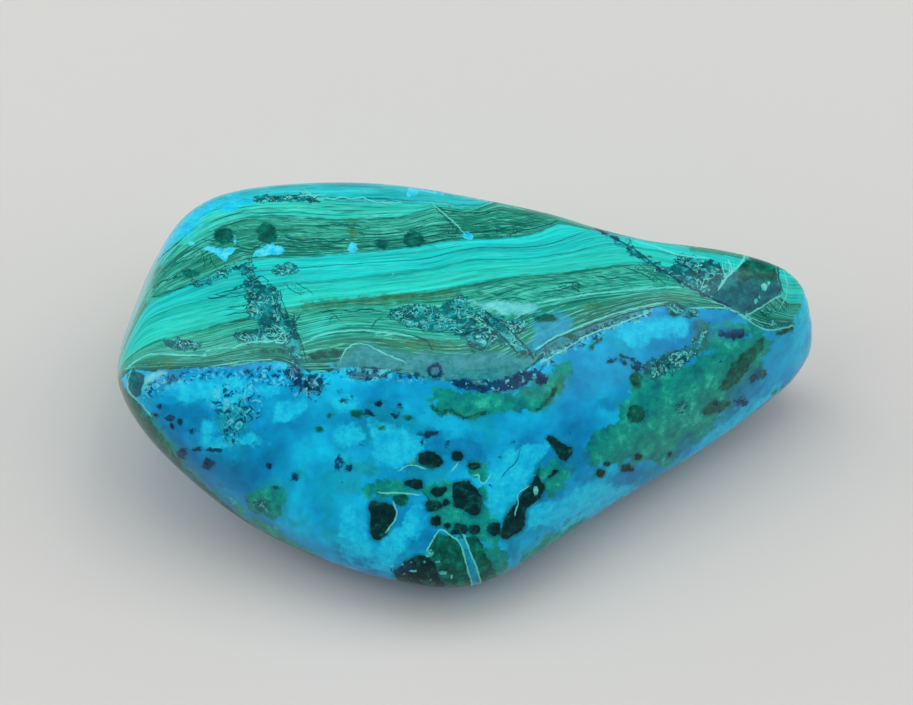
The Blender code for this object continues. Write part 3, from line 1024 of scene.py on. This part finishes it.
def stoneFinish():
    material = bpy.data.materials.new("polishedMalachiteAndChrysocolla")
    material.use_nodes = True
    shader = material.node_tree.nodes["Principled BSDF"]
    tree = NodeTree(material.node_tree)

    def place(offset=0.0):
        # in mm; a fresh reading each time keeps few values waiting at once
        spot = tree.stretch(tree.make("ShaderNodeTexCoord", out="Object"), (1 / mm, 1 / mm, 1 / mm))
        return tree.shift(spot, (offset, 0, 0)) if offset else spot

    def turned(angle, scale):
        values = {"Vector": place(), "Rotation": (0, 0, math.radians(angle))}
        return tree.stretch(tree.make("ShaderNodeMapping", {"vector_type": "POINT"}, values), scale)

    def strayed(name, reach, grain, detail=4.0, roughness=0.6, offset=0.0):
        # a field whose edge strays by up to half the reach
        return tree.field(name) + (tree.noise(place(offset), grain, detail, roughness) - 0.5) * reach

    def layered(scale, detail, roughness):
        return tree.noise(tree.stretch(tree.field("alongLayer", "Vector"), scale), 1.0, detail, roughness)

    # malachite: the layers, then the finer lines in them
    number = strayed("layer", 0.30, 0.8, 5.0)
    colour = tree.ramp(number / len(layers), [(at / len(layers), seen) for at, seen in malachite])
    colour = tree.lay(tree.rise(strayed("mint", 1.8, 0.9), -0.4, 0.3) * 0.75, colour, overlays["mint"])
    moss = strayed("moss", 1.2, 0.9, offset=3.1)
    colour = tree.lay(tree.rise(moss, -0.15, 0.15) * 0.8, colour, overlays["moss"])
    colour = tree.shade(colour, 0.06 + layered((0.09, 2.2, 0.10), 5.0, 0.72) * 1.94)
    banded = tree.field("layer")
    calm = tree.rise(banded, 2.9, 3.1) * tree.rise(banded, 6.05, 5.9) + tree.rise(banded, 1.1, 0.9)
    busy = 1.0 - calm * 0.62
    fine = layered((0.20, 6.5, 0.20), 2.0, 0.5)
    colour = tree.lay(tree.rise(fine, 0.56, 0.66) * busy * 0.75, colour, overlays["fineDark"])
    colour = tree.lay(tree.rise(fine, 0.42, 0.32) * busy * 0.55, colour, overlays["finePale"])
    hair = tree.near(layered((0.11, 3.1, 0.13), 3.0, 0.55), 0.5, 0.028)
    colour = tree.lay(hair * busy * 0.62, colour, overlays["hair"])
    glint = tree.near(layered((0.13, 4.2, 0.11), 3.0, 0.55), 0.47, 0.022)
    colour = tree.lay(glint * busy * 0.55, colour, overlays["glint"])

    # fibres lie across the darker layers
    fibrous = tree.rise(strayed("fibrous", 1.6, 1.0), -0.25, 0.15)
    fibre = tree.noise(turned(14, (0.8, 4.6, 2.4)), 1.0, 5.0, 0.7, 0.4)
    colour = tree.lay(fibrous * tree.rise(fibre, 0.50, 0.60) * 0.60, colour, overlays["darkFibre"])
    colour = tree.lay(fibrous * tree.rise(fibre, 0.43, 0.35) * 0.55, colour, overlays["paleFibre"])

    # chrysocolla: clouds of blue
    blue = tree.ramp(tree.noise(place(), 0.17, 6.0, 0.58, 0.3), chrysocolla)
    greener = tree.rise(tree.noise(place(5.5), 0.33, 5.0, 0.6), 0.5, 0.66)
    blue = tree.lay(greener * 0.5, blue, overlays["greenCloud"])
    blue = tree.shade(blue, 0.66 + tree.noise(place(), 0.9, 6.0, 0.70) * 0.72)
    blueSide = strayed("blueSide", 0.8, 1.6, roughness=0.65)
    colour = tree.lay(tree.rise(blueSide, -0.03, 0.04), colour, blue)

    # the marks, one tint after another; the same clouds serve for all that are as coarse
    clouds = {size: tree.noise(place(5.1), size, 5.0, 0.74) for size in (0.7, 1.3)}
    for index, (name, look) in enumerate(tints.items()):
        inside = strayed(name, look["stray"], look["grain"], 4.0, 0.68, index * 7.3)
        if "rim" in look:
            colour = tree.lay(tree.rise(inside, -look["rimWidth"] * 2, 0.0) * 0.6, colour, look["rim"])
        share = tree.rise(inside, -look["soft"], look["soft"]) * look.get("cover", 1.0)
        colour = tree.lay(share, colour, tree.ramp(clouds[look.get("variety", 1.3)], look["colours"]))

    # crushed stone: dark seams round pale grains
    ragged = strayed("broken", 1.7, 1.7, 5.0, 0.7, 3.7)
    where = tree.rise(ragged, -0.03, 0.03)
    colour = tree.lay(where * 0.95, colour, tree.ramp(tree.noise(place(), 1.0, 5.0, 0.65), crushed["ground"]))
    inner = tree.rise(ragged, 0.04, 0.16)
    grains = tree.rise(tree.noise(place(6.1), 1.15, 4.0, 0.62, 1.1), 0.515, 0.545) * inner
    colour = tree.lay(grains * 0.85, colour, tree.ramp(tree.noise(place(2.2), 1.6, 3.0), crushed["grains"]))
    seams = tree.near(tree.noise(place(8.3), 1.2, 4.0, 0.60, 1.7), 0.5, 0.034)
    seams = seams * inner * tree.rise(tree.noise(place(1.3), 1.0, 2.0), 0.44, 0.52)
    colour = tree.lay(seams * 0.9, colour, crushed["seams"])

    # dark specks and their pale rims
    dense = tree.rise(strayed("specked", 1.6, 1.0, 3.0, 0.55, 1.9), -0.2, 0.2)
    specks = tree.noise(place(5.3), 2.1, 4.0, 0.62, 0.8)
    colour = tree.lay(tree.rise(specks, 0.44, 0.40) * dense * 0.75, colour, overlays["speckRim"])
    colour = tree.lay(tree.rise(specks, 0.535, 0.575) * dense * 0.92, colour, overlays["speck"])
    few = tree.rise(tree.noise(place(9.1), 0.30, 3.0), 0.46, 0.60)
    few = few * tree.rise(tree.field("blueSide"), 0.2, 1.0)
    flecks = tree.rise(tree.noise(place(7.9), 1.5, 4.0, 0.66), 0.66, 0.70) * few
    colour = tree.lay(flecks * 0.85, colour, overlays["fleck"])

    # dark hairlines and healed cracks, then thin pale veins and the painted highlight drawn as one of them
    for name, unevenness, cover in (("crack", 2.4, 0.85), ("vein", 2.3, 0.78)):
        wander = (tree.noise(place(4.4), 2.0, 3.0) - 0.5) * 0.22
        swell = 0.92 - unevenness / 2 + tree.noise(place(2.9), 1.2, 4.0, 0.7) * unevenness
        thin = tree.field(name + "Width") * swell - abs(tree.field(name + "Side") + wander)
        colour = tree.lay(tree.rise(thin, -0.03, 0.03) * cover, colour, overlays[name])

    # the polish
    wear = tree.noise(place(), 0.7, 3.0)
    tree.feed(colour, shader.inputs["Base Color"])
    tree.feed(polish["roughness"] + wear * polish["wear"], shader.inputs["Roughness"])
    for name in ("Metallic", "IOR", "Specular IOR Level", "Coat Weight", "Coat Roughness"):
        shader.inputs[name].default_value = polish[name]
    bump = tree.make("ShaderNodeBump", None, {**polish["grain"], "Height": tree.noise(place(), 2.2, 3.0)})
    tree.feed(bump, shader.inputs["Normal"])
    return material


def makeStone():
    stone = fineSkin(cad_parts["stone"])
    paintFields(stone.data)
    material = stoneFinish()
    pitted(stone, material)
    stone.data.shade_smooth()
    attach(stone, "root")
    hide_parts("stone")
    print("stone made:", len(stone.data.polygons), "faces")
    return stone


# a plain pale studio
studio = {
    "floorSize": 1.6,  # m
    "floorLevel": -0.00001,  # m, just under the stone
    "floorColour": (208, 207, 204),
    "floorRoughness": 0.85,
    "worldColour": (236, 240, 244),
    "skyStrength": 0.24,
    "horizonStrength": 0.58,
    "horizonTop": 0.6,  # how high the horizon's glow reaches, 1 being straight up
    "aim": (0.0, 0.0, 0.008),  # m: what the lamps point at
    "lamps": {  # bearing round +Z from +X, height above level, distance m, size m, watts
        "overhead": (86, 69, 0.60, 0.42, 0.88),
        "left": (176, 44, 0.75, 0.95, 4.1),
        "right": (4, 46, 0.75, 0.95, 3.4),
    },
}


def makeStudio():
    sheet = bpy.data.meshes.new("floor")
    half = studio["floorSize"] / 2
    corners = [(-half, -half), (half, -half), (half, half), (-half, half)]
    sheet.from_pydata([(*corner, studio["floorLevel"]) for corner in corners], [], [(0, 1, 2, 3)])
    floor = bpy.data.objects.new("floor", sheet)
    bpy.context.scene.collection.objects.link(floor)
    paper = bpy.data.materials.new("palePaper")
    paper.use_nodes = True
    shader = paper.node_tree.nodes["Principled BSDF"]
    shader.inputs["Base Color"].default_value = asLight(studio["floorColour"])
    shader.inputs["Roughness"].default_value = studio["floorRoughness"]
    sheet.materials.append(paper)

    world = bpy.data.worlds.new("studio")
    world.use_nodes = True
    tree = NodeTree(world.node_tree)
    up = abs(tree.make("ShaderNodeSeparateXYZ", None, {0: tree.make("ShaderNodeTexCoord")}, out="Z"))
    fall = studio["horizonStrength"] - studio["skyStrength"]
    strength = studio["skyStrength"] + tree.rise(up, studio["horizonTop"], 0.0) * fall
    background = world.node_tree.nodes["Background"]
    background.inputs["Color"].default_value = asLight(studio["worldColour"])
    tree.feed(strength, background.inputs["Strength"])
    bpy.context.scene.world = world

    target = Vector(studio["aim"])
    for name, (bearing, height, distance, size, watts) in studio["lamps"].items():
        turn, tilt = math.radians(bearing), math.radians(height)
        way = Vector((math.cos(tilt) * math.cos(turn), math.cos(tilt) * math.sin(turn), math.sin(tilt)))
        lamp = bpy.data.lights.new(name, "AREA")
        lamp.shape = "SQUARE"
        lamp.size = size
        lamp.energy = watts
        held = bpy.data.objects.new(name, lamp)
        held.location = target + way * distance
        held.rotation_euler = way.to_track_quat("Z", "Y").to_euler()
        bpy.context.scene.collection.objects.link(held)
    bpy.context.scene.view_settings.view_transform = "Standard"


def makeCamera():
    lens = bpy.data.cameras.new("picture")
    lens.sensor_width = picture["sensor"]
    lens.lens = picture["pixelsPerMm"] * picture["distance"] / picture["width"] * picture["sensor"]
    lens.clip_start = picture["nearest"]
    camera = bpy.data.objects.new("picture", lens)
    camera.location = Vector(eyePoint()) * mm
    camera.rotation_euler = (math.radians(90 - picture["elevation"]), 0, 0)
    bpy.context.scene.collection.objects.link(camera)
    bpy.context.scene.camera = camera


makeStone()
makeStudio()
makeCamera()
